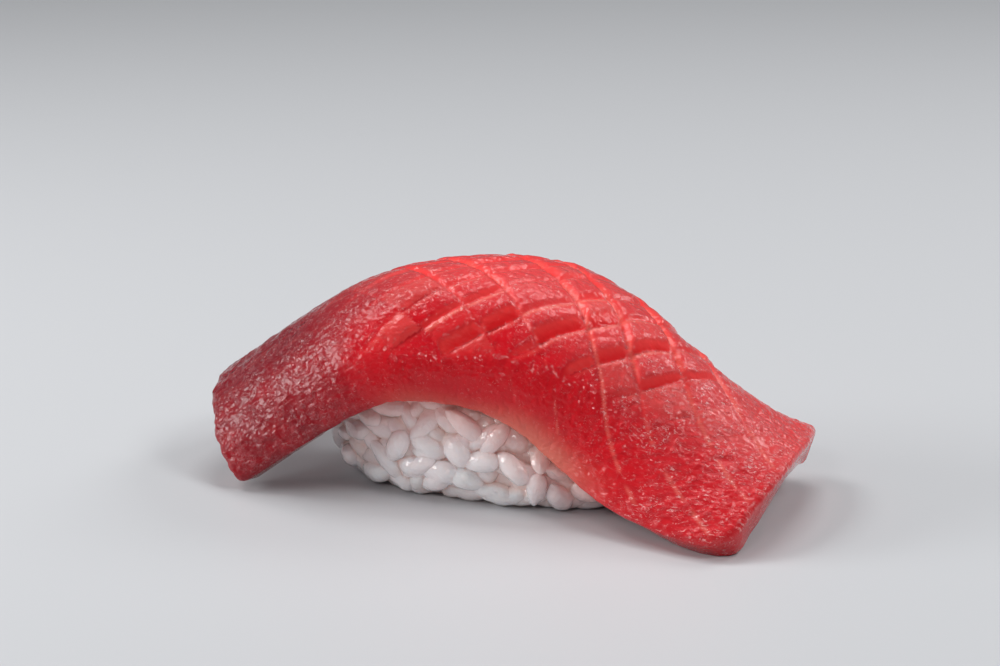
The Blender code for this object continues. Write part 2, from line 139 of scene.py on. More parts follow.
# Score cuts: where they open, along from the apex and across, and by how much
CUTS_LEFT = (-27.0, -3.0)
CUTS_RIGHT = (24.0, 42.0)
LOST_RIGHT = 0.8
RISING_NEAR = (-13.4, -11.2)
NEAR_DRIFT = 0.21
DRIFT_REACH = (-3.0, 32.0)
FALLING_NEAR = (-10.0, 0.0)
SHARES_OPEN = (0.12, 0.45)
WIDE_CUTS = ((3, 5, 1.0), (4, 5, 1.0), (5, 6, 1.0), (6, 6, 0.95), (5, 7, 0.6), (6, 7, 0.95),
             (7, 7, 0.75), (7, 8, 0.85), (8, 8, 0.6), (3, 4, 0.35))
CUTS_FAR = (8.0, 17.0)
LOST_FAR = 0.6
CROSSING_SHARE = 0.3
CROSSING_REACH = 0.6
CUTS_RIM = (0.5, 2.0)

# Worn edges of the slab: how far in each is worn, and how unevenly
LEFT_WORN = (9.0, 0.34)
RIGHT_WORN = (6.0, 0.22)
NEAR_WORN = (4.0, 0.12)
FAR_WORN = (5.0, 0.22)

# Uneven surface of the flesh: its turn, as cosine and sine, and the height of each form
FIBRE_TURN = (0.94, 0.34)
BROAD_HEIGHT = 0.09
LUMP_HEIGHT = 0.08
WORM_HEIGHT = 0.07
FINE_HEIGHT = 0.075

# Colours of the flesh
CORAL = (0.72, 0.050, 0.054, 1.0)
# Scarlet and crimson of the near side: partly the flesh's deeper red, partly painted shade
SCARLET = (0.62, 0.014, 0.022, 1.0)
CRIMSON = (0.64, 0.004, 0.012, 1.0)
DULL_RED = (0.17, 0.005, 0.012, 1.0)
PALE_FIBRE = (0.88, 0.20, 0.18, 1.0)
PALE_PATCH = (0.88, 0.15, 0.13, 1.0)
# Painted glints and painted sparkle highlights, put into the flesh's colour
PAINTED_GLINT = (0.92, 0.46, 0.50, 1.0)
PAINTED_SPARKLE = (0.98, 0.72, 0.70, 1.0)
# Cut walls: the flesh's clean red, brightened as painted light against their shade, deeper toward
# the crease as painted shade
CUT_WALL_WITH_PAINTED_LIGHT = (1.0, 0.055, 0.052, 1.0)
CUT_CREASE_PAINTED_SHADE = (0.98, 0.018, 0.022, 1.0)
# Painted highlight along the cut edges
CUT_LIP_PAINTED_HIGHLIGHT = (0.92, 0.26, 0.20, 1.0)
# Painted light through the thin rim over the rice
RIM_PAINTED_LIGHT = (0.82, 0.30, 0.21, 1.0)

# Where the colours of the flesh lie: each pair is where one begins and where it is full
# Near band and scarlet side: partly deeper red, partly painted shade
NEAR_BAND = (-4.0, -11.5)
BAND_LEFT = (20.0, 36.0)
BAND_RIGHT = (88.0, 70.0)
LEFT_END = (46.0, 14.0)
SCARLET_SIDE = (-1.0, -9.0)
# Where painted glints and grit bumps show most, toward each end
GLINT_AND_GRIT_LEFT = (44.0, 26.0)
GLINT_AND_GRIT_RIGHT = (60.0, 78.0)
# Where the painted light through the thin rim lies
RIM_LEFT = (24.0, 36.0)
RIM_RIGHT = (82.0, 68.0)
RIM_SIDE = (-13.6, -18.9)
RIM_WIDER = (46.0, 62.0)
RIM_WIDENING = 2.4
ALONG_GRAIN = (0.6, 1.0, 1.0)

# Colours of the rice
RICE_WHITE = (0.98, 0.90, 0.90, 1.0)
RICE_SHADE = (0.91, 0.81, 0.82, 1.0)
RICE_CLOUD = (0.96, 0.88, 0.89, 1.0)
# Painted red light from the slab
RICE_PAINTED_SLAB_LIGHT = (0.93, 0.52, 0.48, 1.0)
# Painted shade in the hollows between grains
RICE_PAINTED_HOLLOW_SHADE = (0.90, 0.68, 0.62, 1.0)
BRAN_FLECK = (0.36, 0.20, 0.08, 1.0)

# Rice core
RICE_X = 2.6 * MM
RICE_HALF_LENGTH = 24.0 * MM
RICE_HALF_WIDTH = 12.1 * MM
RICE_TOP = 30.0 * MM
RICE_PLAN_POWER = 2.8
RICE_HEIGHTS = (0.0, 0.04, 0.13, 0.27, 0.45, 0.62, 0.78, 0.91, 1.0)
RICE_LENGTHS = (0.64, 0.78, 0.93, 1.0, 1.0, 0.95, 0.84, 0.62, 0.3)
RICE_WIDTHS = (0.80, 0.92, 1.0, 1.0, 0.98, 0.92, 0.80, 0.58, 0.3)
RICE_STEPS_ROUND = 72
CORE_GAP = 0.9 * MM
CORE_SHRINKS = 12
CORE_DRAW_IN = (0.98, 0.96)
CORE_DROP = 0.25 * MM
CREASE_ANGLE = math.radians(32)
# Heights over the core over which the painted shade and the bran flecks of the hollows fade out
HOLLOW_HEIGHT = (1.7 * MM, 0.3 * MM)

# One rice grain: its middle size, and the range of each random share, or of millimetres
GRAIN_LENGTH = 6.5 * MM
GRAIN_WIDTH = 3.2 * MM
GRAIN_FLAT = 0.86
GRAIN_SIDES = 16
GRAIN_RINGS = 11
LENGTH_SHARES = (0.84, 1.12)
WIDTH_SHARES = (0.86, 1.14)
BEND_MM = (-0.35, 0.35)
NOTCH_MM = (0.1, 0.6)
SLIMMER_END = (0.06, 0.30)
GROOVE = (0.02, 0.14)
DENT = (-0.07, 0.07)
BLUNTNESS = (2.2, 0.58)

# How the grains lie: each layer has its spacing, its height over the core and its seed
GRAIN_GAP = 0.12 * MM
GRAIN_ROOM = 1.0 * MM
GRAIN_SWING = 0.75
GRAIN_TIP = 0.22
GRAIN_SHORTENING = (1.0, 0.88, 0.76, 0.64)
GRAIN_DROPS = (0.0, 0.5 * MM, 1.0 * MM)
GRAIN_LAYERS = ((2.3 * MM, -0.75 * MM, 5), (2.8 * MM, -0.05 * MM, 7), (3.1 * MM, 0.55 * MM, 11))
GRAIN_TRIES = 5000
GRAIN_LOOSE = 0.35 * MM
# How far the painted red light from the slab reaches
PAINTED_SLAB_LIGHT_REACH = 5.5 * MM
FLOOR_GAP = 0.05 * MM
RAY_STEP = 0.001 * MM
RAY_HEADING = Vector((0.13, -0.94, 0.31)).normalized()

# Studio: floor, lights with place, size and power, and the faint light all round
FLOOR_HALF_SIZE = 4.0
FLOOR_DROP = 0.02 * MM
FLOOR_GREY = (0.58, 0.59, 0.61, 1.0)
LIGHTS = (
    ("left", (-0.50, -0.20, 0.20), (0.28, 0.20), 1.75),
    ("left_top", (-0.30, -0.02, 0.42), (0.20, 0.16), 0.85),
    ("right", (0.42, -0.10, 0.44), (0.20, 0.18), 0.95),
    ("behind", (0.31, 0.36, 0.38), (0.24, 0.20), 1.05),
    ("top", (-0.02, 0.18, 0.58), (0.26, 0.20), 1.1),
    ("front", (0.02, -0.72, 0.46), (0.13, 0.10), 0.75))
LIGHTS_AIM = Vector((0.0, 0.0, 0.015))
WORLD_COLOUR = (0.86, 0.89, 0.93, 1.0)
WORLD_STRENGTH = 0.11


def smooth_values(shares, values, at):
    """Cubic curve through the values, with no overshoot at the turning points."""
    x = np.asarray(shares, float)
    y = np.asarray(values, float)
    rise = np.diff(y) / np.diff(x)
    slope = np.empty_like(y)
    slope[0] = rise[0]
    slope[-1] = rise[-1]
    same = rise[:-1] * rise[1:] > 0
    total = np.where(same, rise[:-1] + rise[1:], 1.0)
    slope[1:-1] = np.where(same, 2.0 * rise[:-1] * rise[1:] / total, 0.0)
    k = np.clip(np.searchsorted(x, at, side="right") - 1, 0, len(x) - 2)
    h = x[k + 1] - x[k]
    t = (at - x[k]) / h
    return (y[k] * (1 + 2 * t) * (1 - t) ** 2 + slope[k] * h * t * (1 - t) ** 2
            + y[k + 1] * t * t * (3 - 2 * t) + slope[k + 1] * h * t * t * (t - 1))


def integral(values, step):
    """Running sum by the trapezium rule along the last axis."""
    mid = (values[..., 1:] + values[..., :-1]) / 2 * step
    start = np.zeros(values.shape[:-1] + (1,))
    return np.concatenate([start, np.cumsum(mid, axis=-1)], axis=-1)


def sample(table, row, column):
    """Bilinear reading of a grid of points at fractional rows and columns."""
    i = np.clip(row.astype(int), 0, table.shape[0] - 2)
    j = np.clip(column.astype(int), 0, table.shape[1] - 2)
    a = np.clip(row - i, 0, 1)[..., None]
    b = np.clip(column - j, 0, 1)[..., None]
    return (table[i, j] * (1 - a) * (1 - b) + table[i + 1, j] * a * (1 - b)
            + table[i, j + 1] * (1 - a) * b + table[i + 1, j + 1] * a * b)


def drape_surface(along, across):
    """Points and normals of the slab's middle surface at flat positions, in mm."""
    fine = np.linspace(0.0, 1.0, DRAPE_STEPS[0] + 1)
    slope = np.radians(smooth_values(RIDGE_SHARES, RIDGE_SLOPES, fine))
    step = SLAB_LENGTH / DRAPE_STEPS[0]
    line_x = integral(np.cos(slope), step)
    line_z = integral(np.sin(slope), step)
    line_x += APEX_X - np.interp(APEX_SHARE, fine, line_x)
    line_z += APEX_Z - np.interp(APEX_SHARE, fine, line_z)
    width = np.linspace(-1.0, 1.0, DRAPE_STEPS[1] + 1)
    share = fine[:, None]
    roll = smooth_values(SECTION_SHARES, CROWN_ROLL, share)
    near = smooth_values(SECTION_SHARES, NEAR_SLOPE, share)
    far = smooth_values(SECTION_SHARES, FAR_SLOPE, share)
    near_power = smooth_values(SECTION_SHARES, NEAR_POWER, share)
    far_power = smooth_values(SECTION_SHARES, FAR_POWER, share)
    out = np.abs(width)[None, :] + 1e-9
    tilt = np.where(width[None, :] < 0, roll + (near - roll) * out ** near_power,
                    roll + (far - roll) * out ** far_power)
    tilt = np.radians(tilt)
    ridge = DRAPE_STEPS[1] // 2
    sideways = integral(np.cos(tilt), SLAB_WIDTH / DRAPE_STEPS[1])
    upward = integral(np.sin(tilt), SLAB_WIDTH / DRAPE_STEPS[1])
    sideways -= sideways[:, ridge:ridge + 1]
    upward -= upward[:, ridge:ridge + 1]
    ridge_y = smooth_values(SECTION_SHARES, RIDGE_Y, share)
    points = np.stack([line_x[:, None] - np.sin(slope)[:, None] * upward,
                       ridge_y + sideways,
                       line_z[:, None] + np.cos(slope)[:, None] * upward], axis=-1)
    normal = np.cross(np.gradient(points, axis=0), np.gradient(points, axis=1))
    normal /= np.linalg.norm(normal, axis=-1, keepdims=True)
    row = along / SLAB_LENGTH * DRAPE_STEPS[0]
    column = (across / SLAB_WIDTH + 0.5) * DRAPE_STEPS[1]
    return sample(points, row, column), sample(normal, row, column)


def crowded_shares(steps, crowding):
    """Shares from 0 to 1 that lie closer together toward both ends."""
    turn = np.pi * np.linspace(crowding, 1 - crowding, steps + 1)
    return 0.5 - 0.5 * np.cos(turn) / math.cos(crowding * math.pi)


def corner_radius(across, end):
    """Corner radius on the near or far side, at the left end (0) or the right one (1)."""
    return np.where(across < 0, NEAR_CORNERS[end], FAR_CORNERS[end])


def corner_inset(across, end):
    """How far the rounded corner draws the end in at each place across."""
    radius = corner_radius(across, end)
    reach = np.clip(SLAB_WIDTH / 2 - np.abs(across), 0, radius)
    return radius - np.sqrt(radius ** 2 - (radius - reach) ** 2)


def outline_grid(steps_along, steps_across):
    """Flat positions that fill a rectangle with rounded corners."""
    across = (crowded_shares(steps_across, CROWDING_ACROSS) - 0.5) * SLAB_WIDTH
    left = corner_inset(across, 0)[None, :]
    right = SLAB_LENGTH - corner_inset(across, 1)[None, :]
    share = crowded_shares(steps_along, CROWDING_ALONG)[:, None]
    return left + share * (right - left), np.repeat(across[None, :], steps_along + 1, axis=0)


def rim_distance(along, across):
    """How far a flat position lies inside the rounded outline."""
    radius = np.where(along < SLAB_LENGTH / 2, corner_radius(across, 0), corner_radius(across, 1))
    px = np.abs(along - SLAB_LENGTH / 2) - (SLAB_LENGTH / 2 - radius)
    py = np.abs(across) - (SLAB_WIDTH / 2 - radius)
    outside = np.hypot(np.maximum(px, 0), np.maximum(py, 0))
    return radius - outside - np.minimum(np.maximum(px, py), 0)


def half_thickness(along, across):
    """Rounded rim all round, and a longer taper to the near long edge."""
    inside = np.clip(rim_distance(along, across) / EDGE_ROUND, 0, 1)
    rim = EDGE_SHARE + (1 - EDGE_SHARE) * np.sqrt(1 - (1 - inside) ** 2)
    near = np.clip((across + SLAB_WIDTH / 2) / NEAR_TAPER, 0, 1)
    taper = NEAR_TAPER_SHARE + (1 - NEAR_TAPER_SHARE) * near * (2 - near)
    return SLAB_THICK / 2 * rim * taper


def fade(value, low, high):
    """Smooth step from 0 at low to 1 at high."""
    t = np.clip((value - low) / (high - low), 0, 1)
    return t * t * (3 - 2 * t)


def soft_noise(x, y, seed):
    """Smooth noise from -1 to 1 with features about one unit wide."""
    table = np.random.default_rng(seed).uniform(-1, 1, (NOISE_TABLE, NOISE_TABLE))
    i = np.floor(x).astype(int)
    j = np.floor(y).astype(int)
    a = x - i
    b = y - j
    a = a * a * (3 - 2 * a)
    b = b * b * (3 - 2 * b)
    left = i % NOISE_TABLE
    right = (i + 1) % NOISE_TABLE
    bottom = j % NOISE_TABLE
    top = (j + 1) % NOISE_TABLE
    low = table[left, bottom] * (1 - a) + table[right, bottom] * a
    high = table[left, top] * (1 - a) + table[right, top] * a
    return low * (1 - b) + high * b


class CutFamily:
    """Parallel score cuts: the strip a place lies in, and how far it is from its cuts."""

    def __init__(self, along, across, crossings, slope, fan, shift):
        offset = along - SLAB_LENGTH * APEX_SHARE
        slope = slope + fan * np.clip(offset, *FAN_REACH)
        wander = CUT_WANDER * soft_noise(along * 0.13, across * 0.2, seed=3)
        crossing = offset - (across - SCORE_LINE) / slope + wander + shift
        steep = np.abs(slope) / np.hypot(1, slope)
        places = np.array((-OUTERMOST_CUT,) + crossings + (OUTERMOST_CUT,))
        self.strip = np.clip(np.searchsorted(places, crossing) - 1, 0, len(places) - 2)
        before = places[self.strip]
        after = places[self.strip + 1]
        spacing = np.minimum(after - before, WIDEST_TILE)
        self.share = np.clip((crossing - before) / spacing, 0, 1)
        self.from_before = (crossing - before) * steep
        self.to_after = (after - crossing) * steep


def cut_families(along, across, rng):
    """The falling cuts, and the rising ones, which step a little at each falling cut."""
    falling = CutFamily(along, across, FALLING_CUTS, FALLING_SLOPE, 0.0, 0.0)
    steps = rng.uniform(-1, 1, len(FALLING_CUTS) + 2) * RISING_STEP
    shift = steps[falling.strip]
    rising = CutFamily(along, across, RISING_CUTS, RISING_SLOPE, RISING_FAN, shift)
    return falling, rising


def tile_values(falling, rising, rng):
    """How open each place's tile is, and the tile above it, and the tile's own height."""
    size = (len(FALLING_CUTS) + 2, len(RISING_CUTS) + 2)
    openness = rng.uniform(*SHARES_OPEN, size)
    for column, row, share in WIDE_CUTS:
        openness[column, row] = share
    step = rng.uniform(-1, 1, size)
    tile = (falling.strip, rising.strip)
    tile_above = (falling.strip, np.maximum(rising.strip - 1, 0))
    return openness[tile], openness[tile_above], step[tile]


class ScoredSurface:
    """The score cuts over the slab: their relief, and masks for their colours."""

    def __init__(self, along, across):
        rng = np.random.default_rng(SCORE_SEED)
        self.along = along
        self.across = across
        self.offset = along - SLAB_LENGTH * APEX_SHARE
        self.falling, self.rising = cut_families(along, across, rng)
        share, above, self.step = tile_values(self.falling, self.rising, rng)
        self.rim = fade(rim_distance(along, across), *CUTS_RIM)
        self.find_scored_area()
        self.find_openings(share, above)

    def find_scored_area(self):
        """Where the cuts open: most on the crown, and not on the near band."""
        crown = fade(self.offset, *CUTS_LEFT) * (1 - LOST_RIGHT * fade(self.offset, *CUTS_RIGHT))
        self.crown = crown * (1 - LOST_FAR * fade(self.across, *CUTS_FAR))
        drift = NEAR_DRIFT * (np.clip(self.offset, *DRIFT_REACH) - DRIFT_REACH[0])
        self.scored = fade(self.across - drift, *RISING_NEAR)

    def find_openings(self, share, above):
        """How open the cuts are at each place, and how near it is to their walls."""
        falling = self.falling
        rising = self.rising
        beside = np.minimum(falling.from_before, falling.to_after)
        joined = CROSSING_SHARE + (1 - CROSSING_SHARE) * fade(beside, 0.0, CROSSING_REACH)
        self.rise_open = share * joined * self.crown * self.scored
        self.above_open = above * joined * self.crown * self.scored
        uneven = 0.8 + 0.2 * soft_noise(self.along * 0.2, self.across * 0.2, seed=8)
        self.fall_open = self.crown * fade(self.across, *FALLING_NEAR) * uneven
        rise_width = RISING_WALL[0] + (RISING_WALL[1] - RISING_WALL[0]) * self.rise_open
        fall_width = FALLING_WALL[0] + (FALLING_WALL[1] - FALLING_WALL[0]) * self.fall_open
        self.rising_wall = np.clip(1 - rising.to_after / rise_width, 0, 1)
        self.falling_wall = np.clip(1 - falling.from_before / fall_width, 0, 1)

    def height(self):
        """Height over the smooth surface."""
        falling = self.falling
        rising = self.rising
        rising_lip = np.clip(1 - rising.from_before / RISING_LIP, 0, 1)
        falling_lip = np.clip(1 - falling.to_after / FALLING_LIP, 0, 1)
        rising_depth = np.maximum(RISING_DEPTH * self.rising_wall * self.rise_open,
                                  RISING_LIP_DEPTH * rising_lip * self.above_open)
        falling_share = np.maximum(self.falling_wall ** 1.3, falling_lip)
        depth = np.maximum(rising_depth, FALLING_DEPTH * falling_share * self.fall_open)
        near_cut = np.minimum(np.minimum(rising.from_before, rising.to_after),
                              np.minimum(falling.from_before, falling.to_after))
        pillow = PILLOW * (1 - np.exp(-np.maximum(near_cut, 0) / PILLOW_REACH))
        tilt = RISING_TILT / 2 * (rising.share * self.rise_open
                                  - (1 - rising.share) * self.above_open)
        tilt = tilt - FALLING_TILT * (falling.share - 0.5) * self.fall_open
        tile = pillow + TILE_STEP * self.step - SCORE_SINK
        return (tile * self.crown * self.scored + tilt - depth) * self.rim

    def masks(self):
        """Shares of cut wall, of its deep part, of lip and thread lines that carry painted
        highlight, and each tile's own tone.
        """
        rising_wall = np.clip(self.rising_wall * 3, 0, 1) * np.clip(self.rise_open * 1.8, 0, 1)
        falling_wall = np.clip(self.falling_wall * 2, 0, 1) * np.clip(self.fall_open * 1.3, 0, 1)
        # Thread and lip lines: painted highlight along the cut edges
        thread = np.exp(-((self.falling.from_before - 0.25) / 0.2) ** 2) * self.rim
        thread = thread * fade(self.offset + 1.4 * self.across, -14, 6)
        thread = thread * fade(soft_noise(self.along * 0.5, self.across * 0.5, seed=9), -0.5, 0.4)
        lip = 0.7 * np.exp(-((self.rising.from_before - 0.4) / 0.25) ** 2)
        lip = lip * self.rise_open * self.rim
        return {
            "wall": np.maximum(rising_wall, falling_wall) * self.rim,
            "deep": self.rising_wall * self.rise_open * self.rim,
            "edge": np.maximum(0.6 * thread, lip),
            "patch": self.step * np.clip(1.5 * self.crown, 0, 1) * self.scored}


def worn_share(distance, reach):
    """1 at an edge of the slab, and 0 from the given reach inward."""
    return np.clip(1 - distance / reach, 0, 1) ** 2


def ragged(along, across):
    """Uneven cut edges: the outline wanders a little, most at the left end."""
    left = worn_share(along, LEFT_WORN[0])
    right = worn_share(SLAB_LENGTH - along, RIGHT_WORN[0])
    near = worn_share(across + SLAB_WIDTH / 2, NEAR_WORN[0])
    far = worn_share(SLAB_WIDTH / 2 - across, FAR_WORN[0])
    rough = soft_noise(across * 0.75, along * 0.1, seed=31)
    rough = rough + 0.5 * soft_noise(across * 1.9, along * 0.1, seed=32)
    smooth = soft_noise(across * 0.3, along * 0.1, seed=33)
    wave = soft_noise(along * 0.45, across * 0.1, seed=34)
    wave = wave + 0.5 * soft_noise(along * 1.4, across * 0.1, seed=35)
    return (along + LEFT_WORN[1] * rough * left + RIGHT_WORN[1] * smooth * right,
            across + NEAR_WORN[1] * wave * near + FAR_WORN[1] * wave * far)


def fibre_relief(along, across, wall):
    """Uneven surface of raw flesh, lumpier toward the ends and smooth on cut walls."""
    beside = along * FIBRE_TURN[0] - across * FIBRE_TURN[1]
    turned = across * FIBRE_TURN[0] + along * FIBRE_TURN[1]
    broad = soft_noise(beside * 0.30, turned * 0.42, seed=41)
    lump = soft_noise(beside * 0.6, turned * 0.9 + 0.6 * broad, seed=42)
    worm = 1 - 2 * np.abs(soft_noise(beside * 0.75, turned * 1.1 + 0.5 * lump, seed=44))
    fine = soft_noise(beside * 1.2 + 0.4 * broad, turned * 1.7 + 0.4 * lump, seed=43)
    ends = np.clip(np.abs(along / SLAB_LENGTH - 0.5) * 2.6, 0.5, 1)
    relief = BROAD_HEIGHT * broad + LUMP_HEIGHT * lump + WORM_HEIGHT * worm + FINE_HEIGHT * fine
    return relief * ends * (1 - 0.85 * wall)


def shell_mesh(name, top, bottom):
    """One closed mesh from a fine top grid and a bottom grid half as fine."""
    rows, columns = top.shape[:2]
    index = np.arange(rows * columns).reshape(rows, columns)
    under = np.arange(bottom.shape[0] * bottom.shape[1]).reshape(bottom.shape[:2]) + rows * columns
    quads = np.stack([index[:-1, :-1], index[1:, :-1], index[1:, 1:], index[:-1, 1:]], axis=-1)
    low = np.stack([under[:-1, :-1], under[:-1, 1:], under[1:, 1:], under[1:, :-1]], axis=-1)
    ring = rim_ring(index)
    lower = rim_ring(under)
    after = np.roll(lower, -1)
    wall = np.stack([ring[0::2], lower, after, np.roll(ring, -2)[0::2], ring[1::2]], axis=-1)
    faces = quads.reshape(-1, 4).tolist() + low.reshape(-1, 4).tolist() + wall.tolist()
    points = np.concatenate([top.reshape(-1, 3), bottom.reshape(-1, 3)])
    mesh = bpy.data.meshes.new(name)
    mesh.from_pydata(points.tolist(), [], faces)
    mesh.update()
    mesh.shade_smooth()
    return mesh


def rim_ring(index):
    return np.concatenate([index[:-1, 0], index[-1, :-1], index[:0:-1, -1], index[0, :0:-1]])


def set_value(mesh, name, values):
    """A number for each vertex, for the material to read."""
    layer = mesh.attributes.new(name, "FLOAT", "POINT")
    layer.data.foreach_set("value", np.asarray(values, np.float32).ravel())


def set_place(mesh, name, values):
    layer = mesh.attributes.new(name, "FLOAT_VECTOR", "POINT")
    layer.data.foreach_set("vector", np.asarray(values, np.float32).ravel())


def add_object(name, mesh, material):
    item = bpy.data.objects.new(name, mesh)
    bpy.context.scene.collection.objects.link(item)
    mesh.materials.append(material)
    return item


def centring_shift(low, high, node):
    """Moves a box in the slab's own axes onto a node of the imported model."""
    box_low, box_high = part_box(node)
    return Vector((
        (box_low[0] + box_high[0] - low[0] - high[0]) / 2,
        (box_low[1] + box_high[1] - low[1] - high[1]) / 2,
        box_low[2] - low[2]))


def both_sides(points, normals, height, depth):
    """Upper and lower points of the slab, none of them under the floor."""
    top = points + normals * height[..., None]
    bottom = points - normals * depth[..., None]
    top[..., 2] = np.maximum(top[..., 2], 0.0)
    bottom[..., 2] = np.maximum(bottom[..., 2], 0.0)
    return top, bottom


def smooth_slab_shift(along, across):
    """The shift that puts the slab, still smooth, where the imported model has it."""
    half = half_thickness(along, across)
    top, bottom = both_sides(*drape_surface(along, across), half, half)
    plain = np.concatenate([top.reshape(-1, 3), bottom.reshape(-1, 3)])
    return centring_shift(plain.min(axis=0) * MM, plain.max(axis=0) * MM, "tuna")


def mark_slab(mesh, along, across, masks):
    """Flat positions and masks for the material: all of the top, half the steps below."""
    top = np.stack([along, across, np.zeros_like(along)], axis=-1)
    under = np.stack([along, across, np.full_like(along, -SLAB_THICK)], axis=-1)[::2, ::2]
    set_place(mesh, "flat", np.concatenate([top.reshape(-1, 3), under.reshape(-1, 3)]))
    nothing = np.zeros(under.shape[0] * under.shape[1])
    for name, values in masks.items():
        set_value(mesh, name, np.concatenate([values.ravel(), nothing]))


def make_slab(material):
    """The fine slab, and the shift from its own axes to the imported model's."""
    along, across = outline_grid(*TOP_STEPS)
    shift = smooth_slab_shift(along, across)
    worn_along, worn_across = ragged(along, across)
    worn_along = np.clip(worn_along, 0, SLAB_LENGTH)
    worn_across = np.clip(worn_across, -SLAB_WIDTH / 2, SLAB_WIDTH / 2)
    points, normals = drape_surface(worn_along, worn_across)
    half = half_thickness(along, across)
    score = ScoredSurface(along, across)
    masks = score.masks()
    rim = fade(rim_distance(along, across), 0.0, 0.8)
    fibres = fibre_relief(along, across, masks["wall"]) * (0.3 + 0.7 * rim)
    top, bottom = both_sides(points, normals, half + score.height() + fibres, half)
    shift_mm = np.array(shift) / MM
    mesh = shell_mesh("tuna_slab", (top + shift_mm) * MM, (bottom[::2, ::2] + shift_mm) * MM)
    mark_slab(mesh, along, across, masks)
    return add_object("tuna_slab", mesh, material), shift


def surface_tree(item):
    points = [vert.co.copy() for vert in item.data.vertices]
    return BVHTree.FromPolygons(points, [face.vertices[:] for face in item.data.polygons])


def clearance(tree, point):
    """Distance to a closed surface, negative inside it, by what a ray crosses."""
    inside = False
    place = tree.ray_cast(point, RAY_HEADING)[0]
    while place is not None:
        inside = not inside
        place = tree.ray_cast(place + RAY_HEADING * RAY_STEP, RAY_HEADING)[0]
    distance = tree.find_nearest(point)[3]
    return -distance if inside else distance


def core_points(shift):
    """Level rings of the core, each a rounded oblong, then its top and bottom points."""
    middle_x = RICE_X + shift.x
    points = []
    for height, length, width in zip(RICE_HEIGHTS, RICE_LENGTHS, RICE_WIDTHS):
        for step in range(RICE_STEPS_ROUND):
            turn = 2 * math.pi * step / RICE_STEPS_ROUND
            c = math.cos(turn)
            s = math.sin(turn)
            power = 2 / RICE_PLAN_POWER
            x = RICE_HALF_LENGTH * length * math.copysign(abs(c) ** power, c)
            y = RICE_HALF_WIDTH * width * math.copysign(abs(s) ** power, s)
            points.append(Vector((middle_x + x, shift.y + y, height * RICE_TOP)))
    points.append(Vector((middle_x, shift.y, RICE_TOP)))
    points.append(Vector((middle_x, shift.y, 0.0)))
    return points


def core_faces():
    faces = []
    rings = len(RICE_HEIGHTS)
    peak = rings * RICE_STEPS_ROUND
    top = peak - RICE_STEPS_ROUND
    for step in range(RICE_STEPS_ROUND):
        after = (step + 1) % RICE_STEPS_ROUND
        for ring in range(rings - 1):
            low = ring * RICE_STEPS_ROUND
            high = low + RICE_STEPS_ROUND
            faces.append((low + step, low + after, high + after))
            faces.append((low + step, high + after, high + step))
        faces.append((top + step, top + after, peak))
        faces.append((after, step, peak + 1))
    return faces


def make_core(tree, shift):
    """A rounded pad whose top follows the slab's underside."""
    middle = Vector((RICE_X + shift.x, shift.y, 0.0))
    points = core_points(shift)
    for point in points:
        fit_under_slab(point, middle, tree)
    mesh = bpy.data.meshes.new("rice_core")
    mesh.from_pydata(points, [], core_faces())
    mesh.update()
    core = bpy.data.objects.new("rice_core", mesh)
    bpy.context.scene.collection.objects.link(core)
    return core


def fit_under_slab(point, middle, tree):
    """Lowers or draws in a point of the core until it clears the slab."""
    if point.z <= 0:
        return
    hit = tree.ray_cast(Vector((point.x, point.y, 0.0)), Vector((0, 0, 1)))[0]
    if hit is not None:
        point.z = min(point.z, hit.z - CORE_GAP)
    for _ in range(CORE_SHRINKS):
        if clearance(tree, point) >= CORE_GAP:
            return
        point.x = middle.x + (point.x - middle.x) * CORE_DRAW_IN[0]
        point.y = middle.y + (point.y - middle.y) * CORE_DRAW_IN[1]
        point.z -= CORE_DROP


def grain_form(rng):
    """Points of one plump grain, long axis on X: bent a little, one end more pointed."""
    length = GRAIN_LENGTH * rng.uniform(*LENGTH_SHARES)
    width = GRAIN_WIDTH * rng.uniform(*WIDTH_SHARES)
    bend = rng.uniform(*BEND_MM) * MM
    slim = rng.uniform(*SLIMMER_END)
    groove = rng.uniform(*GROOVE)
    spin = rng.uniform(0, 2 * math.pi)
    notch = rng.uniform(*NOTCH_MM) * MM
    dents = np.array([rng.uniform(*DENT) for _ in range(GRAIN_RINGS * GRAIN_SIDES)])
    dents = dents.reshape(GRAIN_RINGS, GRAIN_SIDES)
    dents = (dents + np.roll(dents, 1, axis=1) + np.roll(dents, 1, axis=0)) / 2
    steps = np.linspace(0, np.pi, GRAIN_RINGS + 2)
    t = -np.cos(steps[1:-1])[:, None]
    turn = np.linspace(0, 2 * np.pi, GRAIN_SIDES, endpoint=False)[None, :]
    radius = (1 - np.abs(t) ** BLUNTNESS[0]) ** BLUNTNESS[1] * (1 - slim * t) * width / 2
    radius = radius * (1 - groove * np.cos(2 * (turn - spin)) * (1 - t * t)) * (1 + dents)
    x = t * length / 2 + 0 * turn
    y = radius * np.cos(turn)
    z = radius * np.sin(turn) * GRAIN_FLAT + bend * (t * t - 0.3)
    x = x - notch * np.clip(t - 0.4, 0, 1) * (1 + np.cos(turn - spin))
    body = np.stack([x, y, z], axis=-1).reshape(-1, 3)
    ends = np.array([[-length / 2, 0, bend * 0.7], [length / 2 - notch, 0, bend * 0.7]])
    return np.concatenate([body, ends])


def grain_faces():
    faces = []
    first = GRAIN_SIDES * GRAIN_RINGS
    for side in range(GRAIN_SIDES):
        after = (side + 1) % GRAIN_SIDES
        faces.append((first, after, side))
        for ring in range(GRAIN_RINGS - 1):
            low = ring * GRAIN_SIDES
            high = low + GRAIN_SIDES
            faces.append((low + side, low + after, high + after))
            faces.append((low + side, high + after, high + side))
        top = first - GRAIN_SIDES
        faces.append((top + side, top + after, first + 1))
    return np.array(faces)


